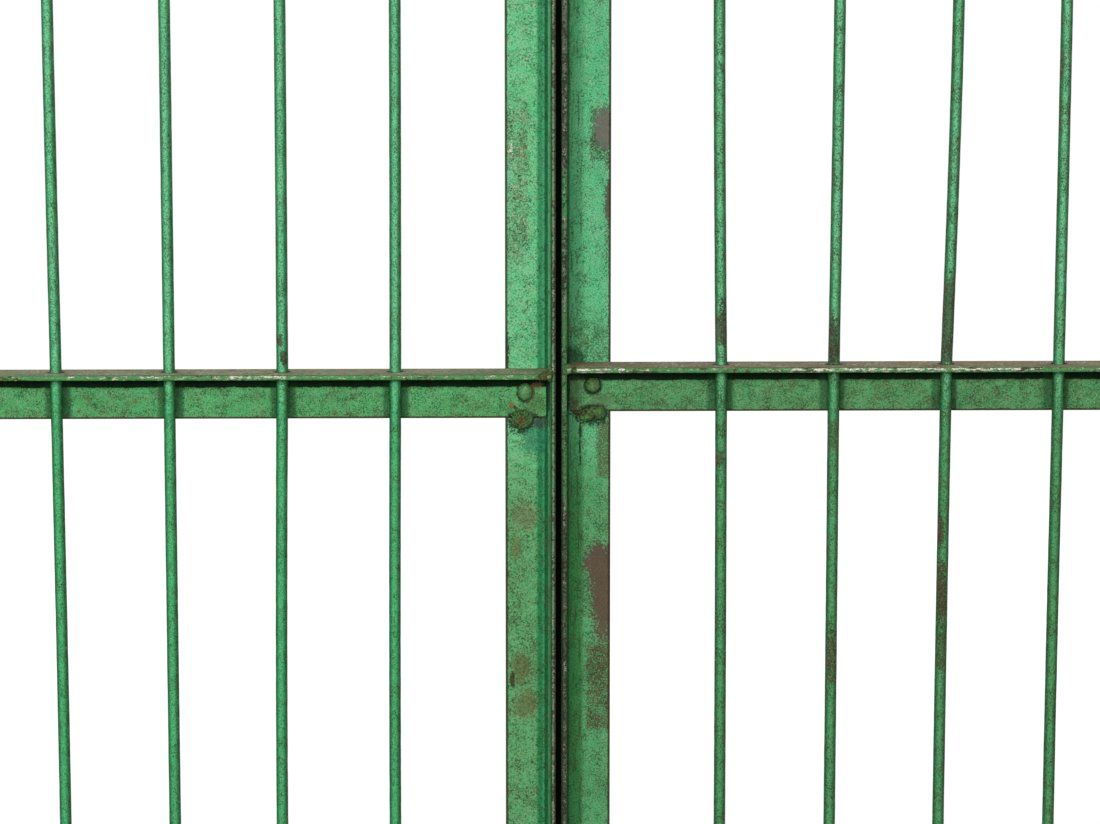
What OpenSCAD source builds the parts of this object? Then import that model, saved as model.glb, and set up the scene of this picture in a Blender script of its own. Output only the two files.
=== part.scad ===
// Two-leaf gate of angle iron and round bars, hung on two box posts.
// X runs along the gate, Y points away from the yard side, Z is up.
// The origin is the centre of the underside of the left post's foot plate.

/* [Angle iron] */
// Leg width of the angle iron in the stiles and rails
angle_leg = 50; // [46:1:56]
// Thickness of the legs
angle_t = 5; // [4:0.5:6]
// Radius of the root between the legs
root_r = 4; // [2:0.5:6]
// Radius of the rolled toes
toe_r = 2.5; // [1:0.25:3]

/* [Leaves] */
// Height of a leaf
leaf_h = 1920; // [1600:10:2200]
// Top of the middle rail above the foot of the leaf
mid_rail_z = 970; // [800:10:1150]
// Foot of the right leaf above the ground
ground_gap = 80; // [60:5:150]
// How much lower the left leaf hangs
left_drop = 6.5; // [0:0.5:15]
// Gap between the two meeting stiles
meeting_gap = 6.3; // [6.3:0.1:12]

/* [Bars] */
// Diameter of the round bars
bar_d = 12; // [10:0.5:14]
// Edge of a stile to the centre of the nearest bar
end_gap = 110; // [88:1:130]
// Distance between bar centres
bar_pitch = 113; // [90:1:130]
// Bar centre in front of the rail's back face
bar_setback = 21; // [19:0.5:26]
// Radial play of a bar in its holes
bar_clear = 0.25; // [0.1:0.05:0.5]
// Overhang of the peened heads past the bar
head_over = 2.5; // [1:0.25:4]
// Height of the peened heads
head_h = 3; // [2:0.5:6]

/* [Posts] */
// Width of the square posts
post_w = 100; // [80:2:140]
// Wall of the posts
post_wall = 4; // [3:0.5:6]
// Outer corner radius of the posts
post_r = 8; // [6.5:0.5:14]
// Post above the top of the right leaf
post_over = 150; // [60:5:300]
// Overhang of the cap past the post
cap_over = 5; // [2:1:15]
// Thickness of the cap's square edge
cap_edge = 6; // [4:1:12]
// Rise of the cap's four slopes
cap_rise = 20; // [10:1:60]

/* [Foot plates] */
// Overhang of a post's foot plate past the post
foot_over = 40; // [35:1:80]
// Thickness of a post's foot plate
foot_t = 10; // [8:1:20]
// Diameter of the anchor holes in a post's foot plate
anchor_d = 14; // [10:0.5:18]
// Anchor hole centre in from the plate's edges
anchor_inset = 20; // [14:0.5:24]

/* [Hinges] */
// Diameter of the hinge pins
pin_d = 16; // [12:0.5:20]
// Radial play of a pin in its eye
pin_clear = 0.2; // [0.1:0.05:0.4]
// Pin above the top of its eye
pin_over = 12; // [4:1:30]
// Wall of the hinge eyes
eye_wall = 6; // [5:0.5:7]
// Height of the hinge eyes
eye_h = 40; // [30:1:70]
// Play between an eye and the bracket under it
eye_play = 0.3; // [0.2:0.05:0.8]
// Hinge axis from the post, and from the leaf
hinge_reach = 20; // [20:0.5:30]
// Depth of an eye's plate along the stile, from the hinge axis
plate_w = 38; // [24:1:44]
// Thickness of a pin's bracket
bracket_t = 14; // [10:1:25]
// Underside of the lower eyes above the foot of the leaf
lower_eye_z = 250; // [150:10:500]
// Underside of the upper eyes below the top of the leaf
upper_eye_drop = 290; // [150:10:500]

/* [Centre stop] */
// Width of the square stop post behind the meeting stiles
stop_w = 40; // [30:1:60]
// Wall of the stop post
stop_wall = 3; // [2:0.5:5]
// Outer corner radius of the stop post
stop_r = 6; // [5.5:0.5:10]
// Clear space between the leaves and the stop post
stop_clear = 5; // [5:0.5:15]
// Top of the stop post below the top of the right leaf
stop_drop = 30; // [0:5:200]
// Thickness of the stop post's lid
lid_t = 4; // [3:0.5:8]
// Overhang of the stop post's foot plate
stop_foot_over = 40; // [32:1:70]
// Thickness of the stop post's foot plate
stop_foot_t = 8; // [6:1:15]
// Diameter of the anchor holes in the stop post's foot plate
stop_anchor_d = 12; // [8:0.5:16]
// Those holes' centres in from the plate's edges
stop_anchor_inset = 18; // [13:0.5:22]

/* [Hidden] */
$fn = 48;
bars_per_leaf = 7;
leaf_w = 2 * (angle_leg + end_gap) + (bars_per_leaf - 1) * bar_pitch;
post_span = post_w + 2 * (2 * hinge_reach + leaf_w) + meeting_gap;
leaf_x = post_w / 2 + 2 * hinge_reach;
leaf_back = angle_leg / 2;
axis_x = post_w / 2 + hinge_reach;
axis_y = -angle_leg / 2;
post_top = ground_gap + leaf_h + post_over;
foot_w = post_w + 2 * foot_over;
anchor_span = foot_w - 2 * anchor_inset;
eye_r = pin_d / 2 + pin_clear + eye_wall;
upper_eye_z = leaf_h - upper_eye_drop;
rail_l = leaf_w - 2 * angle_t;
bar_y = -angle_t - bar_setback;
stop_y = leaf_back + stop_clear + stop_w / 2;
stop_top = ground_gap + leaf_h - stop_drop;
stop_foot_w = stop_w + 2 * stop_foot_over;
stop_anchor_span = stop_foot_w - 2 * stop_anchor_inset;
cut = 1;

paint = [0.30, 0.62, 0.44];
worn_paint = [0.36, 0.55, 0.40];
bar_paint = [0.27, 0.58, 0.40];
post_paint = [0.22, 0.47, 0.32];
dark_paint = [0.10, 0.16, 0.12];
bare_iron = [0.38, 0.33, 0.29];

// Points of an arc about c, from angle a0 to angle a1.
function arc(c, r, a0, a1, steps = 6) =
    [for (i = [0 : steps]) let (a = a0 + (a1 - a0) * i / steps) c + r * [cos(a), sin(a)]];

// Rolled angle with its heel at the origin and its legs along +X and +Y.
module angle_section() {
    polygon(concat(
        [[0, 0], [angle_leg, 0]],
        arc([angle_leg - toe_r, angle_t - toe_r], toe_r, 0, 90),
        arc([angle_t + root_r, angle_t + root_r], root_r, 270, 180),
        arc([angle_t - toe_r, angle_leg - toe_r], toe_r, 0, 90),
        [[0, angle_leg]]
    ));
}

// Square with rounded corners, centred.
module rounded_square(w, r) {
    m = w / 2 - r;
    polygon(concat(
        arc([m, m], r, 0, 90),
        arc([-m, m], r, 90, 180),
        arc([-m, -m], r, 180, 270),
        arc([m, -m], r, 270, 360)
    ));
}

module box_tube(w, wall, r, h) {
    linear_extrude(h) difference() {
        rounded_square(w, r);
        rounded_square(w - 2 * wall, r - wall);
    }
}

// Square plate on the ground with a hole near each corner.
module anchor_plate(w, t, hole_d, span) {
    difference() {
        translate([-w / 2, -w / 2, 0]) cube([w, w, t]);
        for (x = [-1, 1], y = [-1, 1])
            translate([x * span / 2, y * span / 2, -cut]) cylinder(d = hole_d, h = t + 2 * cut);
    }
}

// Outline of the cap from one side.
module cap_side() {
    w = post_w / 2 + cap_over;
    rotate([90, 0, 0])
        linear_extrude(2 * w, center = true)
            polygon([[-w, 0], [w, 0], [w, cap_edge], [0, cap_edge + cap_rise], [-w, cap_edge]]);
}

module post_cap() {
    color(post_paint) intersection() {
        cap_side();
        rotate([0, 0, 90]) cap_side();
    }
}

module post_tube() {
    color(post_paint) box_tube(post_w, post_wall, post_r, post_top - foot_t);
}

module post_foot_plate() {
    color(bare_iron) anchor_plate(foot_w, foot_t, anchor_d, anchor_span);
}

module stop_tube() {
    color(dark_paint) box_tube(stop_w, stop_wall, stop_r, stop_top - lid_t - stop_foot_t);
}

module stop_lid_plate() {
    color(dark_paint) linear_extrude(lid_t) rounded_square(stop_w, stop_r);
}

module stop_plate() {
    color(bare_iron) anchor_plate(stop_foot_w, stop_foot_t, stop_anchor_d, stop_anchor_span);
}

// Bracket with its upright pin. The hinge axis is the Z axis and the bracket's top is at zero.
module hinge_pin() {
    color(bare_iron) union() {
        translate([-hinge_reach, -eye_r, -bracket_t]) cube([hinge_reach, 2 * eye_r, bracket_t]);
        translate([0, 0, -bracket_t]) cylinder(r = eye_r, h = bracket_t);
        cylinder(d = pin_d, h = eye_play + eye_h + pin_over);
    }
}

// Eye with the plate that is welded to the hinge stile. The hinge axis is the Z axis.
module hinge_eye() {
    color(worn_paint) difference() {
        union() {
            cylinder(r = eye_r, h = eye_h);
            translate([eye_r - eye_wall / 2, -eye_wall, 0])
                cube([hinge_reach - eye_r + eye_wall / 2, plate_w + eye_wall, eye_h]);
        }
        translate([0, 0, -cut]) cylinder(d = pin_d + 2 * pin_clear, h = eye_h + 2 * cut);
    }
}

// A leaf lies with its hinge heel at X zero, its back at Y zero and its foot at Z zero.
module hinge_stile() {
    color(paint) linear_extrude(leaf_h) mirror([0, 1]) angle_section();
}

module meeting_stile() {
    color(paint) translate([leaf_w, 0, 0]) linear_extrude(leaf_h) rotate(180) angle_section();
}

// Place of bar number i along a leaf, counted from the meeting stile.
function bar_x(i) = leaf_w - angle_leg - end_gap - (i - 1) * bar_pitch;

// Holes for the bars, all along a leaf.
module bar_holes() {
    for (i = [1 : bars_per_leaf])
        translate([bar_x(i), bar_y, -cut])
            cylinder(d = bar_d + 2 * bar_clear, h = leaf_h + 2 * cut);
}

// Rail with its heel at height z, its lying leg to the front and its upright leg up or down.
// The upright leg is cut back at both ends to clear the roots of the stiles.
module rail(z, up) {
    color(paint) difference() {
        translate([angle_t, -angle_t, z])
            rotate([90, 0, 90])
                linear_extrude(rail_l) rotate(up ? 90 : 180) angle_section();
        for (x = [angle_t - cut, leaf_w - angle_t - root_r])
            translate([x, -2 * angle_t - root_r, z - angle_leg - cut])
                cube([root_r + cut, angle_t + root_r + cut, 2 * (angle_leg + cut)]);
        bar_holes();
    }
}

module top_rail() {
    rail(leaf_h, false);
}

module middle_rail() {
    rail(mid_rail_z, false);
}

module bottom_rail() {
    rail(0, true);
}

// Bar number i, with its peened heads outside the end rails.
module bar(i) {
    head_d = bar_d + 2 * head_over;
    color(bar_paint) translate([bar_x(i), bar_y, 0]) union() {
        cylinder(d = bar_d, h = leaf_h);
        translate([0, 0, leaf_h]) cylinder(d = head_d, h = head_h);
        translate([0, 0, -head_h]) cylinder(d = head_d, h = head_h);
    }
}

// Places one leaf's pieces, and the posts' pins that carry it.
module left_leaf() {
    translate([leaf_x, leaf_back, ground_gap - left_drop]) children();
}

module right_leaf() {
    translate([post_span, 0, 0]) mirror([1, 0, 0]) translate([leaf_x, leaf_back, ground_gap]) children();
}

module on_axis(z) {
    translate([axis_x - leaf_x, axis_y - leaf_back, z]) children();
}

module at_right_post() {
    translate([post_span, 0, 0]) children();
}

module at_stop() {
    translate([post_span / 2, stop_y, 0]) children();
}

post_foot_plate();  // left_foot_plate
translate([0, 0, foot_t]) post_tube();  // left_post
translate([0, 0, post_top]) post_cap();  // left_cap
at_right_post() post_foot_plate();  // right_foot_plate
at_right_post() translate([0, 0, foot_t]) post_tube();  // right_post
at_right_post() translate([0, 0, post_top]) post_cap();  // right_cap
at_stop() stop_plate();  // stop_foot_plate
at_stop() translate([0, 0, stop_foot_t]) stop_tube();  // stop_post
at_stop() translate([0, 0, stop_top - lid_t]) stop_lid_plate();  // stop_lid

left_leaf() on_axis(lower_eye_z - eye_play) hinge_pin();  // left_lower_pin
left_leaf() on_axis(upper_eye_z - eye_play) hinge_pin();  // left_upper_pin
right_leaf() on_axis(lower_eye_z - eye_play) hinge_pin();  // right_lower_pin
right_leaf() on_axis(upper_eye_z - eye_play) hinge_pin();  // right_upper_pin

left_leaf() hinge_stile();  // left_hinge_stile
left_leaf() meeting_stile();  // left_meeting_stile
left_leaf() top_rail();  // left_top_rail
left_leaf() middle_rail();  // left_middle_rail
left_leaf() bottom_rail();  // left_bottom_rail
for (i = [1 : bars_per_leaf])
    left_leaf() bar(i);
left_leaf() on_axis(lower_eye_z) hinge_eye();  // left_lower_eye
left_leaf() on_axis(upper_eye_z) hinge_eye();  // left_upper_eye

right_leaf() hinge_stile();  // right_hinge_stile
right_leaf() meeting_stile();  // right_meeting_stile
right_leaf() top_rail();  // right_top_rail
right_leaf() middle_rail();  // right_middle_rail
right_leaf() bottom_rail();  // right_bottom_rail
for (i = [1 : bars_per_leaf])
    right_leaf() bar(i);
right_leaf() on_axis(lower_eye_z) hinge_eye();  // right_lower_eye
right_leaf() on_axis(upper_eye_z) hinge_eye();  // right_upper_eye
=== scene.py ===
import math

import bmesh
import bpy
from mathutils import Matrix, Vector, noise


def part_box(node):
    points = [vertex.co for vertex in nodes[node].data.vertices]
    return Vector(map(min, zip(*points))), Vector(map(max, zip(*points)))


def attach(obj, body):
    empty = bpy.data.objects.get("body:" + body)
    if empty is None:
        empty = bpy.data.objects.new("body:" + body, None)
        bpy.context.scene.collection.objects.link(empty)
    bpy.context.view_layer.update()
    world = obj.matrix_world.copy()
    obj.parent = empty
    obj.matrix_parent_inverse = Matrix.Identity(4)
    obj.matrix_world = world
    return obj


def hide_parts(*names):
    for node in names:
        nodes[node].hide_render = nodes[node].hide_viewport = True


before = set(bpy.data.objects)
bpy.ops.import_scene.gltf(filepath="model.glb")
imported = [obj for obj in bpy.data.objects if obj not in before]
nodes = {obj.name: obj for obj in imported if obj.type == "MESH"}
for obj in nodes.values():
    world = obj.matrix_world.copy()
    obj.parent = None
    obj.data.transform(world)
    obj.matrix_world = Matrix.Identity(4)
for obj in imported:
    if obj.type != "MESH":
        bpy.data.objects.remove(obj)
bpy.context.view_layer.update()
scene = bpy.context.scene

# Camera
# The gate is seen from the yard side, a little from above, through a long lens.
# It looks at the place where the two leaves meet.
meeting_x = (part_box("left_meeting_stile")[1].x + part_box("right_meeting_stile")[0].x) / 2
look_down = 8.345
look_right = 1.022
yard_camera = bpy.data.objects.new("yard_camera", bpy.data.cameras.new("yard_camera"))
yard_camera.data.sensor_width = 36.0
yard_camera.data.lens = 124.64
yard_camera.data.clip_end = 200.0
yard_camera.location = (meeting_x - 0.0758, -3.779, 1.5564)
yard_camera.rotation_euler = (math.radians(90.0 - look_down), 0.0, math.radians(-look_right))
scene.collection.objects.link(yard_camera)
scene.camera = yard_camera

# Floor and light
# A wide pale floor and a white surround. A broad low softbox lights the yard side,
# and two weaker ones behind the gate light its back and its ends.
scene.view_settings.view_transform = "Standard"


def seen_directly(tree):
    """1 for what the camera sees by itself, in a mirror or through glass, else 0."""
    path = tree.nodes.new("ShaderNodeLightPath")
    total = path.outputs["Is Camera Ray"]
    for ray in ("Is Glossy Ray", "Is Transmission Ray"):
        add = tree.nodes.new("ShaderNodeMath")
        add.operation = "ADD"
        add.use_clamp = True
        tree.links.new(total, add.inputs[0])
        tree.links.new(path.outputs[ray], add.inputs[1])
        total = add.outputs[0]
    return total


surround = bpy.data.worlds.new("surround")
surround.use_nodes = True
sky = surround.node_tree.nodes["Background"]
sky.inputs["Color"].default_value = (1.0, 1.0, 1.0, 1.0)
sky_level = surround.node_tree.nodes.new("ShaderNodeMapRange")
sky_level.inputs["To Min"].default_value = 0.09
sky_level.inputs["To Max"].default_value = 1.0
surround.node_tree.links.new(seen_directly(surround.node_tree), sky_level.inputs["Value"])
surround.node_tree.links.new(sky_level.outputs["Result"], sky.inputs["Strength"])
scene.world = surround

floor_half = 60.0
bm = bmesh.new()
bmesh.ops.create_grid(bm, x_segments=1, y_segments=1, size=floor_half)
floor_mesh = bpy.data.meshes.new("floor")
bm.to_mesh(floor_mesh)
bm.free()
floor = bpy.data.objects.new("floor", floor_mesh)
scene.collection.objects.link(floor)
floor_white = bpy.data.materials.new("floor_white")
floor_white.use_nodes = True
tree = floor_white.node_tree
tree.nodes.clear()
matt = tree.nodes.new("ShaderNodeBsdfDiffuse")
matt.inputs["Color"].default_value = (0.30, 0.30, 0.30, 1.0)
place = tree.nodes.new("ShaderNodeTexCoord")
away = tree.nodes.new("ShaderNodeVectorMath")
away.operation = "DISTANCE"
away.inputs[1].default_value = (meeting_x, 0.0, 0.0)
tree.links.new(place.outputs["Object"], away.inputs[0])
pale = tree.nodes.new("ShaderNodeMapRange")
pale.interpolation_type = "SMOOTHSTEP"
pale.inputs["From Min"].default_value = 1.2
pale.inputs["From Max"].default_value = 5.0
pale.inputs["To Min"].default_value = 0.74
pale.inputs["To Max"].default_value = 0.985
tree.links.new(away.outputs["Value"], pale.inputs["Value"])
glow_level = tree.nodes.new("ShaderNodeMath")
glow_level.operation = "MULTIPLY"
tree.links.new(pale.outputs["Result"], glow_level.inputs[1])
glow = tree.nodes.new("ShaderNodeEmission")
both = tree.nodes.new("ShaderNodeAddShader")
surface = tree.nodes.new("ShaderNodeOutputMaterial")
tree.links.new(seen_directly(tree), glow_level.inputs[0])
tree.links.new(glow_level.outputs[0], glow.inputs["Strength"])
tree.links.new(matt.outputs[0], both.inputs[0])
tree.links.new(glow.outputs[0], both.inputs[1])
tree.links.new(both.outputs[0], surface.inputs["Surface"])
floor_mesh.materials.append(floor_white)

gate_centre = Vector((meeting_x, 0.0, 1.05))
for name, stand, width, height, power in (
    ("yard_softbox", (meeting_x - 0.75, -4.7, 2.25), 3.4, 1.0, 212.0),
    ("far_left_softbox", (meeting_x - 3.4, 3.4, 2.7), 1.8, 1.8, 105.0),
    ("far_right_softbox", (meeting_x + 3.4, 3.4, 2.7), 1.8, 1.8, 105.0),
):
    lamp = bpy.data.lights.new(name, "AREA")
    lamp.shape = "RECTANGLE"
    lamp.size = width
    lamp.size_y = height
    lamp.energy = power
    softbox = bpy.data.objects.new(name, lamp)
    softbox.location = stand
    softbox.rotation_euler = (gate_centre - Vector(stand)).to_track_quat("-Z", "Y").to_euler()
    softbox.visible_camera = False
    scene.collection.objects.link(softbox)

# Posts, caps and foot plates
# Two box tubes with a plate welded under each and a shallow pyramid cap on top.
# They carry the same green paint as the leaves, duller and dirtier near the ground.


def screen(r, g, b):
    """A colour given as it looks on a screen, 0 to 255, as the shader needs it."""
    parts = [c / 255.0 for c in (r, g, b)]
    return tuple(c / 12.92 if c < 0.04045 else ((c + 0.055) / 1.055) ** 2.4 for c in parts) + (1.0,)


class Coat:
    """Old paint on iron, with some painted shade and highlights, built up layer by layer on the piece's own
    coordinates.
    """

    def __init__(self, name, ground):
        self.material = bpy.data.materials.new(name)
        self.material.use_nodes = True
        self.tree = self.material.node_tree
        self.shader = self.tree.nodes["Principled BSDF"]
        self.place = self.tree.nodes.new("ShaderNodeTexCoord").outputs["Object"]
        split = self.tree.nodes.new("ShaderNodeSeparateXYZ")
        self.tree.links.new(self.place, split.inputs[0])
        self.axis = {"x": split.outputs["X"], "y": split.outputs["Y"], "z": split.outputs["Z"]}
        self.colour = screen(*ground)
        self.height = 0.0
        self.bare = 0.0

    def feed(self, socket, value):
        if isinstance(value, bpy.types.NodeSocket):
            self.tree.links.new(value, socket)
        else:
            socket.default_value = value

    def math(self, operation, a, b=0.0, c=0.0):
        node = self.tree.nodes.new("ShaderNodeMath")
        node.operation = operation
        for socket, value in zip(node.inputs, (a, b, c)):
            self.feed(socket, value)
        return node.outputs[0]

    def times(self, *amounts):
        total = amounts[0]
        for amount in amounts[1:]:
            total = self.math("MULTIPLY", total, amount)
        return total

    def grain(self, size, detail=2.0, rough=0.55, stretch=(1.0, 1.0, 1.0), seed=0.0):
        """Noise with marks of about this size in metres."""
        where = self.tree.nodes.new("ShaderNodeMapping")
        where.inputs["Scale"].default_value = [1.0 / (size * s) for s in stretch]
        where.inputs["Location"].default_value = (seed, seed * 1.7, seed * 0.6)
        self.tree.links.new(self.place, where.inputs["Vector"])
        marks = self.tree.nodes.new("ShaderNodeTexNoise")
        marks.inputs["Scale"].default_value = 1.0
        marks.inputs["Detail"].default_value = detail
        marks.inputs["Roughness"].default_value = rough
        self.tree.links.new(where.outputs[0], marks.inputs["Vector"])
        return marks.outputs["Fac"]

    def step(self, value, low, high):
        """0 below low, 1 above high and a soft rise between; it falls if low is above high."""
        node = self.tree.nodes.new("ShaderNodeMapRange")
        node.interpolation_type = "SMOOTHSTEP"
        falls = low > high
        self.feed(node.inputs["Value"], value)
        node.inputs["From Min"].default_value = min(low, high)
        node.inputs["From Max"].default_value = max(low, high)
        node.inputs["To Min"].default_value = 1.0 if falls else 0.0
        node.inputs["To Max"].default_value = 0.0 if falls else 1.0
        return node.outputs["Result"]

    def near(self, along, at, half, soft):
        """1 within half of a coordinate, gone a little further out."""
        off = self.math("ABSOLUTE", self.math("SUBTRACT", self.axis[along], at))
        return self.step(off, half + soft, half)

    def zone(self, x, z, only=1.0):
        """1 in an upright oblong; x and z each give its middle, its half size and how far it fades."""
        return self.times(self.near("x", *x), self.near("z", *z), only)

    def torn(self, amount, size=0.008, ragged=0.5, seed=0.0, stretch=(1.0, 1.0, 1.0)):
        """Breaks the edge of a soft amount into a torn one."""
        bite = self.math("SUBTRACT", self.grain(size, 5.0, 0.66, stretch, seed), 0.5)
        return self.step(self.math("MULTIPLY_ADD", bite, 2.6 * ragged, amount), 0.40, 0.60)

    def tint(self, amount, colour, bare=0.0, lift=0.0):
        """Lays a colour over the coat where amount is 1. It may bare the iron or lift the surface."""
        node = self.tree.nodes.new("ShaderNodeMix")
        node.data_type = "RGBA"
        self.feed(node.inputs["Factor"], amount)
        self.feed(node.inputs[6], self.colour)
        self.feed(node.inputs[7], screen(*colour))
        self.colour = node.outputs[2]
        if bare:
            self.bare = self.math("MAXIMUM", self.bare, self.times(amount, bare))
        if lift:
            self.height = self.math("MULTIPLY_ADD", amount, lift, self.height)

    def mottle(self, light, dark, seed=0.0, run=(1.0, 1.0, 1.0)):
        """Uneven brushed paint: broad pale clouds and smaller dull ones along the run."""
        clouds = self.step(self.grain(0.030, 5.0, 0.62, run, seed), 0.36, 0.66)
        self.tint(self.times(clouds, 0.7), light)
        dull = self.step(self.grain(0.008, 4.0, 0.65, run, seed + 3.0), 0.50, 0.68)
        self.tint(self.times(dull, 0.5), dark)

    def specks(self, colour, share, where=1.0, size=0.0018, seed=0.0, bare=0.0, cover=0.85, drifts=0.14):
        """Crumbs of rust, dirt or old paint that cover about this share of a place and gather in drifts."""
        drift = self.step(self.grain(size * 10.0, 3.0, 0.6, seed=seed + 2.0), 0.34, 0.64)
        held = self.math("MULTIPLY_ADD", drift, drifts, -drifts)
        kept = self.math("ADD", held, self.math("MULTIPLY_ADD", where, 0.40, -0.40))
        crumbs = self.math("ADD", self.grain(size, 3.0, 0.68, seed=seed), kept)
        level = 0.62 - 0.35 * share
        amount = self.times(self.step(crumbs, level - 0.02, level + 0.03), cover)
        self.tint(amount, colour, bare=bare, lift=-0.4)

    def patch(
            self, x, z, half_w, half_h, colour, ragged=0.3, crumble=2.2, strength=1.0, bare=0.0, seed=0.0,
            soft=0.08, only=1.0):
        """A stain, a bare place or a patch of painted shade on the XZ plane, with a crumbling outline."""
        dx = self.math("DIVIDE", self.math("SUBTRACT", self.axis["x"], x), half_w)
        dz = self.math("DIVIDE", self.math("SUBTRACT", self.axis["z"], z), half_h)
        far = self.math("SQRT", self.math("ADD", self.times(dx, dx), self.times(dz, dz)))
        bite = self.math("SUBTRACT", self.grain(0.010, 6.0, 0.74, seed=seed), 0.5)
        crumb = self.math("SUBTRACT", self.grain(0.0023, 2.0, 0.6, seed=seed + 1.0), 0.5)
        edge = self.math("MULTIPLY_ADD", bite, 3.6 * ragged, self.math("MULTIPLY_ADD", crumb, crumble, far))
        amount = self.times(self.step(edge, 1.0 + soft, 1.0 - soft), strength, only)
        self.tint(amount, colour, bare=bare, lift=-0.7 * bare)

    def dress(self, objects, seed=0.0, gloss=0.42, relief=0.0007, shine=0.10):
        """Lays a sandy grain over all, joins the layers to the shader and coats the objects."""
        grit = self.grain(0.0015, 2.0, 0.65, seed=seed + 5.0)
        depth = self.math("MULTIPLY_ADD", self.bare, 0.34, -0.62)
        level = self.math("ADD", self.times(self.step(grit, 0.46, 0.68), depth), 1.14)
        sanded = self.tree.nodes.new("ShaderNodeVectorMath")
        sanded.operation = "SCALE"
        self.feed(sanded.inputs[0], self.colour)
        self.feed(sanded.inputs["Scale"], level)
        self.feed(self.shader.inputs["Base Color"], sanded.outputs[0])
        self.feed(self.shader.inputs["Roughness"], self.math("MULTIPLY_ADD", self.bare, 0.25, 1.0 - gloss))
        self.shader.inputs["Specular IOR Level"].default_value = shine
        bump = self.tree.nodes.new("ShaderNodeBump")
        bump.inputs["Strength"].default_value = 0.7
        bump.inputs["Distance"].default_value = relief
        self.feed(bump.inputs["Height"], self.math("MULTIPLY_ADD", grit, -0.5, self.height))
        self.tree.links.new(bump.outputs[0], self.shader.inputs["Normal"])
        for thing in objects:
            thing.data.materials.clear()
            thing.data.materials.append(self.material)


post_coat = Coat("post_green", (76, 142, 94))
post_coat.mottle(light=(94, 162, 112), dark=(52, 108, 66), seed=21.0, run=(1.0, 1.0, 3.0))
post_coat.specks((96, 80, 56), 0.14, seed=22.0, bare=0.8)
post_coat.specks((40, 52, 34), 0.10, seed=24.0)
splashed = post_coat.step(post_coat.axis["z"], 0.50, 0.0)
ground_dirt = post_coat.torn(splashed, size=0.03, ragged=0.5, seed=23.0)
post_coat.tint(post_coat.times(ground_dirt, 0.8), (88, 84, 62), bare=0.5)
post_coat.dress([nodes[n] for n in ("left_post", "right_post", "left_cap", "right_cap")], seed=21.0)

plate_rust = Coat("foot_plate_rust", (96, 84, 68))
plate_rust.mottle(light=(116, 102, 84), dark=(66, 55, 46), seed=31.0)
plate_rust.specks((124, 78, 48), 0.25, seed=33.0, bare=0.6)
foot_plates = [nodes[n] for n in ("left_foot_plate", "right_foot_plate", "stop_foot_plate")]
plate_rust.dress(foot_plates, seed=31.0, gloss=0.2, relief=0.0008)


def weld_bead(bm, start, end, radius, seed):
    """A run of weld from start to end, rippled like a row of overlapping coins."""
    ripples, lumps, coin = 620.0, 210.0, 0.0015
    start, end = Vector(start), Vector(end)
    length = (end - start).length
    run = bmesh.new()
    bmesh.ops.create_cone(run, cap_ends=True, segments=12, radius1=radius, radius2=radius, depth=length)
    lines = [e for e in run.edges if abs(e.verts[0].co.z - e.verts[1].co.z) > 0.5 * length]
    bmesh.ops.subdivide_edges(run, edges=lines, cuts=max(6, int(length / coin)), use_grid_fill=True)
    turn = (end - start).to_track_quat("Z", "Y").to_matrix()
    for v in run.verts:
        t = v.co.z / length + 0.5
        swell = 0.82 + 0.14 * abs(math.sin(v.co.z * ripples + seed))
        swell += 0.22 * noise.noise(v.co * lumps + Vector((seed, 0.0, 0.0)))
        taper = min(1.0, 0.45 + 5.0 * min(t, 1.0 - t) * length / (4.0 * radius))
        v.co.x *= swell * taper
        v.co.y *= swell * taper
        v.co = turn @ v.co + (start + end) / 2
    mesh = bpy.data.meshes.new("weld_run")
    run.to_mesh(mesh)
    run.free()
    bm.from_mesh(mesh)
    bpy.data.meshes.remove(mesh)


def finish_piece(bm, name, body):
    """Turns a built mesh into a smooth piece that rides on a body."""
    bmesh.ops.recalc_face_normals(bm, faces=bm.faces)
    for f in bm.faces:
        f.smooth = True
    mesh = bpy.data.meshes.new(name)
    bm.to_mesh(mesh)
    bm.free()
    piece = bpy.data.objects.new(name, mesh)
    scene.collection.objects.link(piece)
    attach(piece, body)
    return piece


def weld_round_foot(post, inset, radius, seed):
    """One piece with a run of weld along each of the four sides of a box post's foot."""
    low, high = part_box(post)
    foot = low.z + 0.001
    runs = (
        ((low.x + inset, low.y, foot), (high.x - inset, low.y, foot)),
        ((high.x, low.y + inset, foot), (high.x, high.y - inset, foot)),
        ((high.x - inset, high.y, foot), (low.x + inset, high.y, foot)),
        ((low.x, high.y - inset, foot), (low.x, low.y + inset, foot)),
    )
    bm = bmesh.new()
    for n, (start, end) in enumerate(runs):
        weld_bead(bm, start, end, radius, seed + n)
    return finish_piece(bm, f"{post}_weld", "posts")


post_welds = []
for post in ("left_post", "right_post"):
    post_welds.append(weld_round_foot(post, 0.008, 0.0042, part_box(post)[0].x))
weld_coat = Coat("post_weld_green", (78, 112, 76))
weld_coat.mottle(light=(92, 124, 88), dark=(56, 70, 48), seed=27.0)
weld_coat.specks((98, 70, 46), 0.25, seed=28.0, bare=0.6)
weld_coat.dress(post_welds, seed=27.0)
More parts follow.
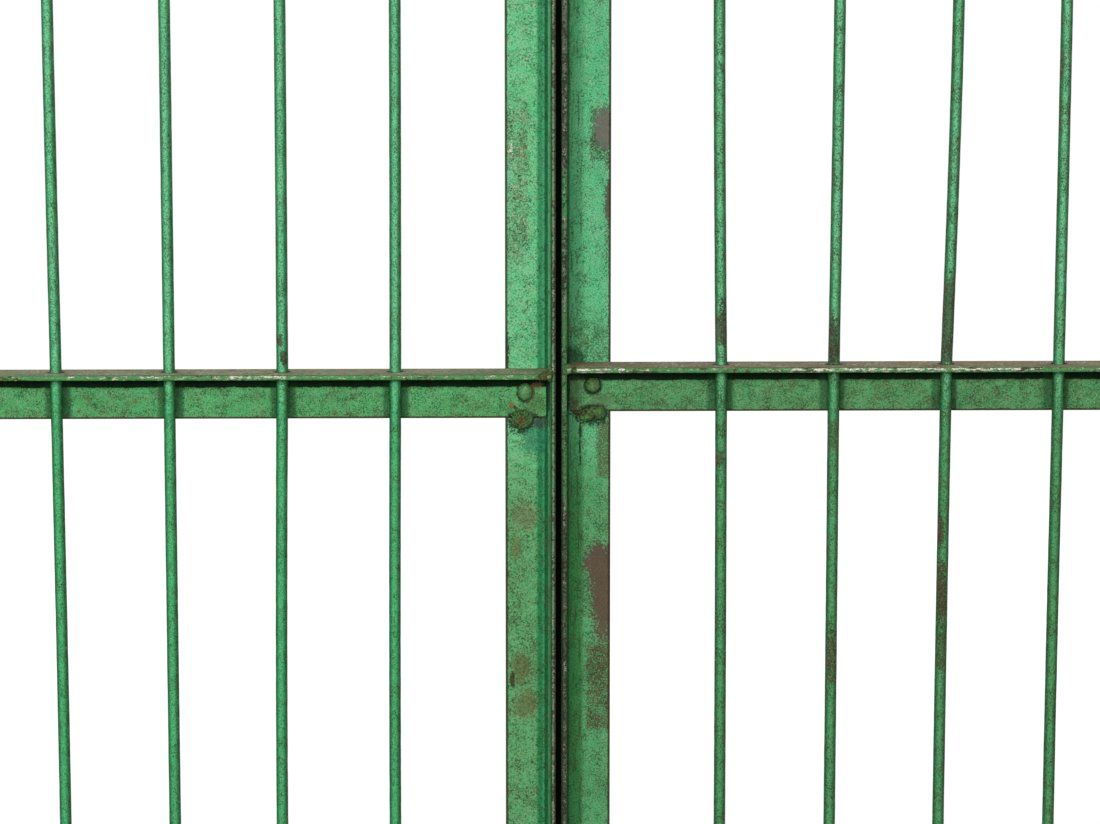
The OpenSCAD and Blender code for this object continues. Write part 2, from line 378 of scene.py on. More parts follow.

# Centre stop post
# A slim box tube behind the two meeting stiles, lidded and welded to its own plate.
# Its paint is old, thin and dark, and the side that faces the gap is painted near black as shade.
stop_coat = Coat("stop_post_dirt_and_painted_shade", (40, 54, 42))
stop_coat.mottle(light=(54, 76, 56), dark=(24, 30, 23), seed=41.0, run=(1.0, 1.0, 3.0))
stop_coat.specks((64, 48, 34), 0.16, seed=43.0, bare=0.5)
# Painted shade: the side facing the gap is made near black, as the slot between the stiles is dark.
gap_face_shade = stop_coat.step(stop_coat.axis["y"], 0.034, 0.0315)
stop_coat.tint(stop_coat.times(gap_face_shade, 0.96), (7, 9, 7))
stop_coat.dress([nodes["stop_post"], nodes["stop_lid"]], seed=41.0, gloss=0.25, shine=0.1)
stop_weld = weld_round_foot("stop_post", 0.006, 0.0034, 40.0)
stop_weld.data.materials.append(stop_coat.material)

# Hinge pins and eyes
# Forged pins on brackets welded to the posts, and drilled eyes welded to the hinge stiles.
# Grease and rust have taken most of the paint round the pins.
pin_rust = Coat("pin_rust", (88, 80, 66))
pin_rust.mottle(light=(106, 100, 82), dark=(52, 44, 36), seed=51.0)
pin_rust.specks((120, 72, 42), 0.22, seed=53.0, bare=0.6)
hinges = [(side, level) for side in ("left", "right") for level in ("lower", "upper")]
pin_rust.dress([nodes[f"{side}_{level}_pin"] for side, level in hinges], seed=51.0, gloss=0.4, shine=0.4)

eye_coat = Coat("eye_green", (82, 132, 92))
eye_coat.mottle(light=(98, 150, 108), dark=(52, 88, 58), seed=55.0)
eye_coat.specks((108, 78, 52), 0.30, seed=57.0, bare=0.8)
eye_coat.dress([nodes[f"{side}_{level}_eye"] for side, level in hinges], seed=55.0)

bracket_height = 0.014
edge_bead, eye_bead, pin_bead = 0.0030, 0.0034, 0.0036
hinge_welds = []
for side, level in hinges:
    stile_low, stile_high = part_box(f"{side}_hinge_stile")
    post_low, post_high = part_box(f"{side}_post")
    if side == "left":
        heel, heel_side, post_side = stile_low.x, stile_low.x - 0.0005, post_high.x
    else:
        heel, heel_side, post_side = stile_high.x, stile_high.x + 0.0005, post_low.x
    low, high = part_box(f"{side}_{level}_eye")
    edge, foot, head = stile_low.y + 0.0005, low.z + 0.002, high.z - 0.002
    front_end, back_end = stile_low.y + 0.003, high.y - 0.002
    bm = bmesh.new()
    weld_bead(bm, (heel, edge, foot), (heel, edge, head), edge_bead, low.z + 1.0)
    weld_bead(bm, (heel_side, high.y, foot), (heel_side, high.y, head), eye_bead, low.z + 2.0)
    weld_bead(bm, (heel_side, front_end, high.z), (heel_side, back_end, high.z), eye_bead, low.z + 3.0)
    hinge_welds.append(finish_piece(bm, f"{side}_{level}_eye_weld", f"{side}_leaf"))
    low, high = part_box(f"{side}_{level}_pin")
    shelf = low.z + bracket_height
    front_end, back_end = low.y + 0.002, high.y - 0.002
    bm = bmesh.new()
    for n, z in enumerate((low.z, shelf)):
        weld_bead(bm, (post_side, front_end, z), (post_side, back_end, z), pin_bead, low.z + 5.0 + n)
    for n, y in enumerate((low.y, high.y)):
        foot, head = (post_side, y, low.z + 0.001), (post_side, y, shelf - 0.001)
        weld_bead(bm, foot, head, pin_bead, low.z + 8.0 + n)
    hinge_welds.append(finish_piece(bm, f"{side}_{level}_pin_weld", "posts"))
hinge_weld_coat = Coat("hinge_weld_green", (80, 112, 78))
hinge_weld_coat.mottle(light=(94, 128, 92), dark=(56, 70, 48), seed=58.0)
hinge_weld_coat.specks((102, 72, 46), 0.28, seed=59.0, bare=0.6)
hinge_weld_coat.dress(hinge_welds, seed=58.0)

# Stiles
# Rolled angle iron, one leg flat at the back and the other edge-on to the yard.
# The paint is sandy and speckled, bare in patches, and worn through along the front edges.
leg_thick = 0.005
flat_face, flat_back, front_edge = 0.020, 0.025, -0.025


def stile_sides(coat, ledge_z):
    """Masks: the flat leg's face and back, the other leg's front edge, and all below the middle rail."""
    face = coat.near("y", flat_face - 0.0015, 0.0035, 0.0015)
    back = coat.step(coat.axis["y"], flat_back - 0.0025, flat_back - 0.0010)
    front = coat.step(coat.axis["y"], front_edge + 0.0055, front_edge + 0.0025)
    below = coat.step(coat.axis["z"], ledge_z - 0.03, 0.90)
    return face, back, front, below


def front_line(coat, x, half):
    """A thin upright line along a corner of the front edge."""
    by_front = coat.step(coat.axis["y"], front_edge + 0.0080, front_edge + 0.0050)
    return coat.times(coat.near("x", x, half, 0.0012), by_front)


def wear_free_edges(coat, edges, colour, seed):
    """Wears the paint through along the free edge of each flat leg."""
    for x in edges:
        worn = coat.torn(coat.near("x", x, 0.0010, 0.0030), size=0.005, ragged=0.45, seed=seed)
        coat.tint(coat.times(worn, 0.85), colour, bare=0.4)


left_meeting, left_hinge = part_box("left_meeting_stile"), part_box("left_hinge_stile")
left_ledge_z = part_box("left_middle_rail")[1].z
left_heels = ((left_meeting[1].x, -1.0), (left_hinge[0].x, 1.0))
left_coat = Coat("left_stile_green", (88, 190, 127))
left_coat.mottle(light=(108, 206, 146), dark=(73, 165, 104), seed=1.0, run=(1.0, 1.0, 2.2))
left_coat.specks((172, 190, 158), 0.36, size=0.0013, seed=3.1, cover=0.52, drifts=0.06)
face, back, front, below = stile_sides(left_coat, left_ledge_z)
left_coat.tint(left_coat.times(below, 0.55), (86, 142, 78))
for heel, inward in left_heels:
    root = heel + inward * leg_thick
    # Painted shade darkens the flat leg beside the upright leg, more so below the rail, a thin painted
    # highlight lies on the fillet, and the crease gets a dark painted shade.
    corner_shade = left_coat.times(left_coat.near("x", root + inward * 0.0072, 0.0036, 0.0038), face)
    left_coat.tint(left_coat.times(corner_shade, 0.80), (18, 122, 74))
    left_coat.tint(left_coat.times(corner_shade, below, 0.45), (14, 124, 66))
    fillet_highlight = left_coat.near("x", root + inward * 0.0066, 0.0005, 0.0008)
    left_coat.tint(left_coat.times(fillet_highlight, face, 0.45), (92, 168, 120))
    crease_shade = left_coat.near("x", root + inward * 0.0036, 0.0010, 0.0012)
    left_coat.tint(left_coat.times(crease_shade, 0.80), (10, 88, 44))
left_coat.specks((78, 84, 46), 0.30, left_coat.times(below, face), seed=3.3, cover=0.7)
left_coat.specks((40, 74, 40), 0.22, size=0.0014, seed=3.7, cover=0.75)
rusty = left_coat.zone((meeting_x - 0.0410, 0.0080, 0.0120), (1.230, 0.070, 0.050), face)
left_coat.specks((110, 108, 78), 0.42, rusty, seed=1.8, bare=0.6, cover=0.75)
left_coat.specks((74, 66, 46), 0.22, rusty, size=0.0015, seed=2.4)
left_coat.specks((198, 190, 164), 0.12, rusty, size=0.0015, seed=2.9)
flaked = left_coat.zone((meeting_x - 0.0480, 0.0015, 0.0050), (1.2645, 0.004, 0.016), face)
left_coat.specks((232, 228, 212), 0.42, flaked, size=0.0026, seed=1.4, cover=0.95)
# Stains and painted shade: across from the meeting line, height, half width, half height, colour and
# strength
left_stains_and_shade = (
    (-0.0522, 1.0600, 0.0030, 0.0200, (56, 58, 34), 0.90),
    # Painted shade: a dark skirt round the weld lump under the middle rail
    (-0.0363, 0.9890, 0.0135, 0.0120, (22, 30, 15), 0.90),
    (-0.0332, 0.8922, 0.0125, 0.0130, (118, 124, 86), 0.65),
    (-0.0420, 0.8603, 0.0060, 0.0125, (104, 110, 66), 0.70),
    (-0.0370, 0.7361, 0.0110, 0.0155, (98, 98, 58), 0.75),
    (-0.0330, 0.6971, 0.0118, 0.0150, (104, 106, 66), 0.70),
    (-0.0460, 0.7240, 0.0026, 0.0075, (52, 46, 28), 0.85),
    (-0.0225, 0.9720, 0.0120, 0.0150, (30, 116, 84), 0.65),
    (-0.0185, 0.9880, 0.0080, 0.0060, (58, 56, 56), 0.75),
    # Painted shadow: the stile's flat leg in the gap beside the middle rail's end
    (-0.0095, 1.0180, 0.0028, 0.0230, (26, 48, 26), 0.85),
)
for n, (across, up, half_w, half_h, colour, strength) in enumerate(left_stains_and_shade):
    left_coat.patch(
        meeting_x + across, up, half_w, half_h, colour, strength=strength, seed=31.0 + n,
        soft=0.25, only=face)
left_coat.specks((92, 76, 52), 0.30, back, size=0.006, seed=4.1, bare=0.9)
wear_free_edges(left_coat, (left_meeting[0].x, left_hinge[1].x), (58, 52, 33), seed=4.2)
left_coat.tint(left_coat.times(front, 0.9), (108, 134, 97), bare=0.4)
green_run = left_coat.near("z", 0.985, 0.050, 0.030)
left_coat.tint(left_coat.times(front, green_run, 0.65), (82, 146, 90))
left_coat.specks((50, 50, 34), 0.45, front, size=0.0026, seed=4.6)
left_coat.specks((190, 184, 156), 0.16, front, size=0.0016, seed=4.8)
for heel, inward in left_heels:
    toe = front_line(left_coat, heel + inward * leg_thick, 0.0008)
    left_coat.tint(left_coat.times(toe, 0.85), (30, 58, 34))
    arris = front_line(left_coat, heel, 0.0009)
    left_coat.tint(left_coat.times(arris, 0.85), (22, 30, 17))
left_coat.patch(
    meeting_x - 0.0060, left_ledge_z + 0.0045, 0.0011, 0.0026, (226, 222, 202), ragged=0.6,
    seed=5.0, only=front)
left_coat.dress([nodes["left_meeting_stile"], nodes["left_hinge_stile"]], seed=1.0)

right_meeting, right_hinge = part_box("right_meeting_stile"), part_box("right_hinge_stile")
right_ledge_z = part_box("right_middle_rail")[1].z
right_heels = ((right_meeting[0].x, 1.0), (right_hinge[1].x, -1.0))
right_coat = Coat("right_stile_green", (78, 184, 122))
right_coat.mottle(light=(97, 203, 143), dark=(60, 151, 89), seed=6.0, run=(1.0, 1.0, 2.4))
right_coat.specks((152, 184, 148), 0.36, size=0.0013, seed=6.1, cover=0.52, drifts=0.06)
face, back, front, below = stile_sides(right_coat, right_ledge_z)
right_coat.tint(right_coat.times(below, 0.5), (84, 142, 82))
runs = right_coat.step(right_coat.grain(0.0032, 4.0, 0.6, (1.0, 1.0, 12.0), 6.3), 0.52, 0.64)
for heel, inward in right_heels:
    root = heel + inward * leg_thick
    # Painted shade darkens the flat leg beside the upright leg, more so below the rail, with real olive
    # dirt streaks in it. The crease gets a dark painted shade.
    web_shade_and_streaks = right_coat.times(right_coat.near("x", root + inward * 0.0075, 0.0060, 0.0055), face)
    right_coat.tint(right_coat.times(web_shade_and_streaks, 0.30), (58, 124, 70))
    right_coat.tint(right_coat.times(web_shade_and_streaks, below, 0.50), (34, 120, 44))
    right_coat.tint(right_coat.times(web_shade_and_streaks, runs, 0.75), (62, 86, 46))
    crease_shade = right_coat.near("x", root + inward * 0.0014, 0.0011, 0.0014)
    right_coat.tint(right_coat.times(crease_shade, 0.75), (14, 80, 34))
right_coat.specks((80, 86, 50), 0.30, right_coat.times(below, face), seed=8.8, cover=0.7)
right_coat.specks((38, 78, 46), 0.22, size=0.0014, seed=8.9, cover=0.75)
halo = right_coat.zone((meeting_x + 0.0420, 0.0080, 0.0090), (1.279, 0.024, 0.012), face)
right_coat.specks((84, 78, 60), 0.46, halo, seed=6.6, bare=0.7, drifts=0.08)
right_coat.specks((44, 56, 38), 0.26, halo, size=0.0015, seed=6.9)
ragged_edge = right_coat.zone((right_meeting[1].x, 0.0050, 0.0070), (1.205, 0.050, 0.030), face)
right_coat.specks((92, 84, 64), 0.36, ragged_edge, seed=7.1, bare=0.7)
peppered = right_coat.zone((meeting_x + 0.0410, 0.0100, 0.0080), (0.716, 0.040, 0.016), face)
right_coat.specks((100, 90, 62), 0.46, peppered, seed=7.8, bare=0.7, drifts=0.07)
right_coat.specks((62, 58, 38), 0.30, peppered, size=0.0015, seed=8.0, drifts=0.07)
olive = right_coat.zone((meeting_x + 0.0490, 0.0070, 0.0080), (0.962, 0.024, 0.016), face)
right_coat.specks((88, 100, 64), 0.66, olive, size=0.0015, seed=8.2, drifts=0.05)
over_ledge = right_coat.times(right_coat.near("z", right_ledge_z, 0.030, 0.050), face)
right_coat.specks((78, 94, 56), 0.44, over_ledge, size=0.0015, seed=8.4, cover=0.75, drifts=0.10)
# Stains and painted shade as on the left, and how far each bares the iron
right_stains_and_shade = (
    (0.0460, 1.2860, 0.0100, 0.0200, (115, 115, 103), 1.00, 1.0),
    (0.0530, 1.2090, 0.0064, 0.0230, (94, 93, 80), 1.00, 1.0),
    (0.0150, 1.0540, 0.0110, 0.0110, (20, 60, 34), 0.75, 0.0),
    (0.0425, 0.8450, 0.0170, 0.0185, (98, 86, 70), 1.00, 1.0),
    (0.0480, 0.8110, 0.0145, 0.0460, (98, 85, 68), 1.00, 1.0),
    (0.0227, 0.9790, 0.0015, 0.0070, (26, 40, 22), 0.85, 0.0),
    (0.0219, 0.9650, 0.0011, 0.0085, (26, 40, 22), 0.85, 0.0),
    (0.0226, 0.9500, 0.0009, 0.0065, (30, 46, 24), 0.75, 0.0),
    # Painted shade: a dark skirt round the weld lump under the middle rail
    (0.0350, 0.9965, 0.0180, 0.0105, (22, 28, 15), 0.88, 0.0),
    # Painted shadow: the stile's flat leg in the gap beside the middle rail's end
    (0.0096, 1.0220, 0.0028, 0.0250, (22, 46, 24), 0.80, 0.0),
)
for n, (across, up, half_w, half_h, colour, strength, bared) in enumerate(right_stains_and_shade):
    right_coat.patch(
        meeting_x + across, up, half_w, half_h, colour, strength=strength, bare=bared, seed=41.0 + n,
        soft=0.08 if bared else 0.35, only=face)
right_coat.specks((92, 76, 52), 0.30, back, size=0.006, seed=9.1, bare=0.9)
wear_free_edges(right_coat, (right_meeting[1].x, right_hinge[0].x), (60, 54, 35), seed=8.6)
right_coat.tint(right_coat.times(front, 0.9), (98, 118, 90), bare=0.4)
fresh_run = right_coat.near("z", 1.222, 0.020, 0.004)
right_coat.tint(right_coat.times(front, fresh_run, 0.9), (74, 142, 92))
grey_run = right_coat.step(right_coat.axis["z"], 1.245, 1.252)
right_coat.tint(right_coat.times(front, grey_run, 0.7), (102, 96, 90))
green_run = right_coat.near("z", 1.010, 0.085, 0.020)
right_coat.tint(right_coat.times(front, green_run, 0.75), (66, 122, 70))
rusty_run = right_coat.step(right_coat.axis["z"], 0.915, 0.900)
right_coat.tint(right_coat.times(front, rusty_run, 0.60), (70, 60, 44), bare=0.6)
brown_run = right_coat.times(front, right_coat.math("MULTIPLY_ADD", green_run, -0.22, 1.0))
right_coat.specks((44, 38, 28), 0.50, brown_run, size=0.0026, seed=9.0)
right_coat.specks((186, 180, 156), 0.16, front, size=0.0016, seed=9.4)
darker_below = right_coat.math("MULTIPLY_ADD", below, 0.40, 0.30)
for heel, _ in right_heels:
    arris = front_line(right_coat, heel, 0.0009)
    right_coat.tint(right_coat.times(arris, darker_below), (30, 32, 20))
right_coat.dress([nodes["right_meeting_stile"], nodes["right_hinge_stile"]], seed=6.0)

# Rails
# The same angle iron laid across the stiles, its lying leg drilled for the bars.
# Dust has settled on the ledge, and the front edge is chipped down to old pale paint.
rail_levels = ("top", "middle", "bottom")
rail_face, rail_back, ledge_edge = 0.015, 0.020, -0.030
lengthwise = (2.0, 1.0, 1.0)
bar_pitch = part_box("left_bar_1")[0].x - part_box("left_bar_2")[0].x
# Stains by the rivets: across from the meeting line, height, half width, half height, colour, strength
rivet_bleeds = {
    "left": (
        (-0.0265, 1.0205, 0.0022, 0.0065, (82, 58, 36), 0.85),
        (-0.0220, 1.0265, 0.0060, 0.0040, (118, 98, 70), 0.60),
        (-0.0240, 1.0080, 0.0100, 0.0120, (84, 104, 66), 0.45),
        (-0.0470, 1.0070, 0.0034, 0.0030, (120, 96, 72), 0.75),
        (-0.0430, 1.0040, 0.0030, 0.0022, (70, 48, 32), 0.80),
    ),
    "right": (
        (0.0160, 1.0250, 0.0080, 0.0240, (64, 82, 54), 0.55),
        (0.0150, 1.0060, 0.0060, 0.0080, (72, 66, 46), 0.60),
        (0.0440, 1.0120, 0.0120, 0.0080, (84, 88, 60), 0.45),
    ),
}
for side, ledge_dust, rail_green, seed in (
    ("left", (158, 157, 124), (76, 166, 100), 12.0),
    ("right", (156, 142, 113), (76, 149, 92), 16.0),
):
    rail_coat = Coat(f"{side}_rail_green", rail_green)
    paler = tuple(int(c * 1.12) for c in rail_green)
    duller = tuple(int(c * 0.78) for c in rail_green)
    rail_coat.mottle(light=paler, dark=duller, seed=seed, run=(2.2, 1.0, 1.0))
    rail_coat.specks((142, 162, 122), 0.34, size=0.0013, seed=seed + 0.1, cover=0.5, drifts=0.06)
    depth = rail_coat.axis["y"]
    face = rail_coat.near("y", rail_face - 0.0015, 0.0030, 0.0015)
    back = rail_coat.step(depth, rail_back - 0.0025, rail_back - 0.0010)
    front = rail_coat.step(depth, ledge_edge + 0.0035, ledge_edge + 0.0015)
    rail_coat.specks((96, 84, 54), 0.26, face, size=0.0016, seed=seed + 0.5, bare=0.5, cover=0.7)
    rail_coat.specks((40, 66, 36), 0.26, face, size=0.0014, seed=seed + 0.7, cover=0.75)
    rail_coat.specks((92, 76, 52), 0.30, back, size=0.006, seed=seed + 0.9, bare=0.9)
    lip = 0.0
    for level in rail_levels:
        low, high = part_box(f"{side}_{level}_rail")
        edge, root = (high.z, low.z) if level == "bottom" else (low.z, high.z)
        ledge_top = low.z + leg_thick if level == "bottom" else high.z
        lip = rail_coat.math("MAXIMUM", lip, rail_coat.near("z", ledge_top - 0.0015, 0.0007, 0.0006))
        by_edge = rail_coat.near("z", edge, 0.0008, 0.0030)
        rim = rail_coat.torn(by_edge, size=0.006, ragged=0.4, seed=seed + 0.4, stretch=lengthwise)
        rail_coat.tint(rail_coat.times(rim, face, 0.85), (72, 54, 36), bare=0.5)
        # Painted shadow: a near-black band on the upright leg right under the lying leg.
        by_root = rail_coat.near("z", root, 0.0120, 0.0120)
        under_ledge_shadow = rail_coat.torn(by_root, size=0.005, ragged=0.22, seed=seed + 1.2, stretch=lengthwise)
        rail_coat.tint(rail_coat.times(under_ledge_shadow, face, 0.97), (2, 19, 3))
        # Painted shade on each rail end, in the gap where it stops short of the stile's upright leg.
        for end in (low.x, high.x):
            rail_end_shade = rail_coat.near("x", end, 0.0012, 0.0014)
            rail_coat.tint(rail_coat.times(rail_end_shade, face, 0.95), (14, 24, 12))
    bar_low, bar_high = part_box(f"{side}_bar_1")
    bar_centre = (bar_low + bar_high) / 2
    from_first = rail_coat.math("SUBTRACT", rail_coat.axis["x"], bar_centre.x)
    along = rail_coat.math("WRAP", from_first, bar_pitch / 2, -bar_pitch / 2)
    off_line = rail_coat.math("SUBTRACT", depth, bar_centre.y)
    squares = rail_coat.math("ADD", rail_coat.times(along, along), rail_coat.times(off_line, off_line))
    ring = rail_coat.math("SQRT", squares)
    row_x = bar_centre.x - 3.0 * bar_pitch if side == "left" else bar_centre.x + 3.0 * bar_pitch
    in_row = rail_coat.near("x", row_x, 3.2 * bar_pitch, 0.01)
    # Painted shadows of the bars on the rail's upright leg, beside each bar.
    bar_shadows = rail_coat.step(rail_coat.math("ABSOLUTE", along), 0.0150, 0.0105)
    rail_coat.tint(rail_coat.times(bar_shadows, face, in_row, 0.6), (26, 62, 30))
    rail_coat.tint(rail_coat.times(front, 0.85), (82, 146, 86))
    scars = rail_coat.step(rail_coat.grain(0.007, 5.0, 0.72, (2.5, 1.0, 1.0), seed + 2.0), 0.53, 0.58)
    outer_ledge = rail_coat.step(depth, ledge_edge + 0.006, ledge_edge + 0.002)
    rail_coat.tint(rail_coat.times(outer_ledge, scars, 0.85), (74, 62, 42), bare=0.6)
    knocked = rail_coat.near("x", meeting_x + (0.038 if side == "right" else -0.30), 0.02, 0.03)
    if side == "right":
        knocked = rail_coat.math("MAXIMUM", knocked, rail_coat.near("x", meeting_x + 0.35, 0.09, 0.06))
    marks = rail_coat.grain(0.0030, 5.0, 0.76, (2.2, 1.0, 1.0), seed + 1.0)
    chips = rail_coat.step(rail_coat.math("MULTIPLY_ADD", knocked, 0.055, marks), 0.585, 0.62)
    chipped_edge = rail_coat.step(depth, ledge_edge + 0.0035, ledge_edge + 0.0010)
    rail_coat.tint(rail_coat.times(chipped_edge, chips), (214, 208, 182))
    upward = rail_coat.tree.nodes.new("ShaderNodeNewGeometry")
    split = rail_coat.tree.nodes.new("ShaderNodeSeparateXYZ")
    rail_coat.tree.links.new(upward.outputs["Normal"], split.inputs[0])
    ledge = rail_coat.step(split.outputs["Z"], 0.7, 0.9)
    rail_coat.tint(rail_coat.times(ledge, 0.92), ledge_dust, bare=0.8)
    grit = rail_coat.step(rail_coat.grain(0.004, 4.0, 0.65, lengthwise, seed + 3.0), 0.48, 0.68)
    rail_coat.tint(rail_coat.times(ledge, grit, 0.8), (86, 78, 58))
    rail_coat.specks((230, 228, 210), 0.15, ledge, size=0.0030, seed=seed + 3.6)
    round_bar = rail_coat.step(ring, 0.0105, 0.007)
    rail_coat.tint(rail_coat.times(ledge, in_row, round_bar), (42, 34, 25), bare=0.8)
    dark_line = rail_coat.near("y", ledge_edge + 0.0015, 0.0015, 0.0012)
    rail_coat.tint(rail_coat.times(ledge, dark_line, 0.85), (42, 37, 26))
    flakes = rail_coat.grain(0.0024, 4.0, 0.72, (3.0, 1.0, 1.0), seed + 1.5)
    lifted = rail_coat.step(rail_coat.math("MULTIPLY_ADD", knocked, 0.07, flakes), 0.590, 0.620)
    flaked_edge = rail_coat.step(depth, ledge_edge + 0.0030, ledge_edge + 0.0010)
    rail_coat.tint(rail_coat.times(flaked_edge, lip, lifted), (234, 232, 216))
    rivet_x = meeting_x - 0.0328 if side == "left" else meeting_x + 0.0350
    rivet_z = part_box(f"{side}_middle_rail")[1].z - 0.0237
    rivet_shade_ring = 0.0108 if side == "left" else 0.0094
    # Painted shade: a dark ring round the rivet head on the rail.
    rail_coat.patch(
        rivet_x, rivet_z, 0.0094, rivet_shade_ring, (16, 30, 12), ragged=0.12, crumble=0.5,
        strength=0.92, seed=seed + 0.2, soft=0.15, only=face)
    # Painted shade: a dark skirt round the weld lump below the rail.
    weld_x = rivet_x + (-0.002 if side == "left" else 0.0)
    rail_coat.patch(
        weld_x, rivet_z - 0.0245, 0.0145, 0.0060, (24, 28, 14), ragged=0.25, crumble=0.9,
        strength=0.9, seed=seed + 0.3, soft=0.2, only=face)
    for n, (across, up, half_w, half_h, colour, strength) in enumerate(rivet_bleeds[side]):
        rail_coat.patch(
            meeting_x + across, up, half_w, half_h, colour, strength=strength, bare=0.5,
            seed=seed + 4.0 + n, soft=0.2, only=face)
    rail_coat.dress([nodes[f"{side}_{level}_rail"] for level in rail_levels], seed=seed, shine=0.06)

# Bars
# Plain round bar pushed through the rails and hammered over outside the end rails.
# No two are quite straight, and the right leaf's are rustier.
bar_radius = 0.006
bar_sides, bar_rings = 28, 220
head_radius = 0.0085
head_rise = 0.003
pit_depth, pit_level = 0.022, 0.012
# Millimetres that each bar bows to the right, above and below the middle rail; bar 1 is the innermost
bow_up = {"left": (1.6, 1.0, 0.3, -2.0, 1.5, 0.8, -1.2), "right": (-4.3, 2.5, 7.6, 1.5, -1.8, 1.0, 2.0)}
bow_down = {
    "left": (-2.6, -4.5, -0.4, 1.5, -1.0, 2.0, 0.6),
    "right": (1.2, 0.3, -1.5, -2.0, 1.4, -0.8, 1.0),
}
# Rust: across from the meeting line, height, half width, half height, colour and strength
bar_rust = {
    "left": (
        (-0.2790, 1.0765, 0.0040, 0.0065, (70, 50, 36), 0.85),
        (-0.2740, 1.0575, 0.0040, 0.0070, (62, 48, 34), 0.85),
    ),
    "right": (
        (0.1655, 1.0930, 0.0050, 0.0230, (66, 50, 38), 0.90),
        (0.1615, 1.0880, 0.0050, 0.0140, (86, 76, 62), 0.80),
        (0.2740, 1.0750, 0.0055, 0.0220, (74, 62, 56), 0.90),
        (0.2765, 1.0600, 0.0050, 0.0100, (66, 56, 44), 0.70),
        (0.3925, 1.0960, 0.0110, 0.0420, (72, 64, 50), 0.85),
        (0.3915, 1.0640, 0.0090, 0.0130, (76, 66, 58), 0.85),
        (0.1620, 0.9550, 0.0035, 0.0085, (78, 66, 48), 0.85),
        (0.2765, 0.9790, 0.0070, 0.0170, (82, 86, 58), 0.65),
        (0.2765, 0.7530, 0.0045, 0.0260, (84, 68, 48), 0.90),
        (0.3850, 0.8800, 0.0036, 0.0180, (78, 66, 48), 0.90),
        (0.3872, 0.8180, 0.0052, 0.0330, (78, 64, 46), 0.95),
        (0.3880, 0.7580, 0.0040, 0.0280, (76, 70, 46), 0.75),
    ),
}
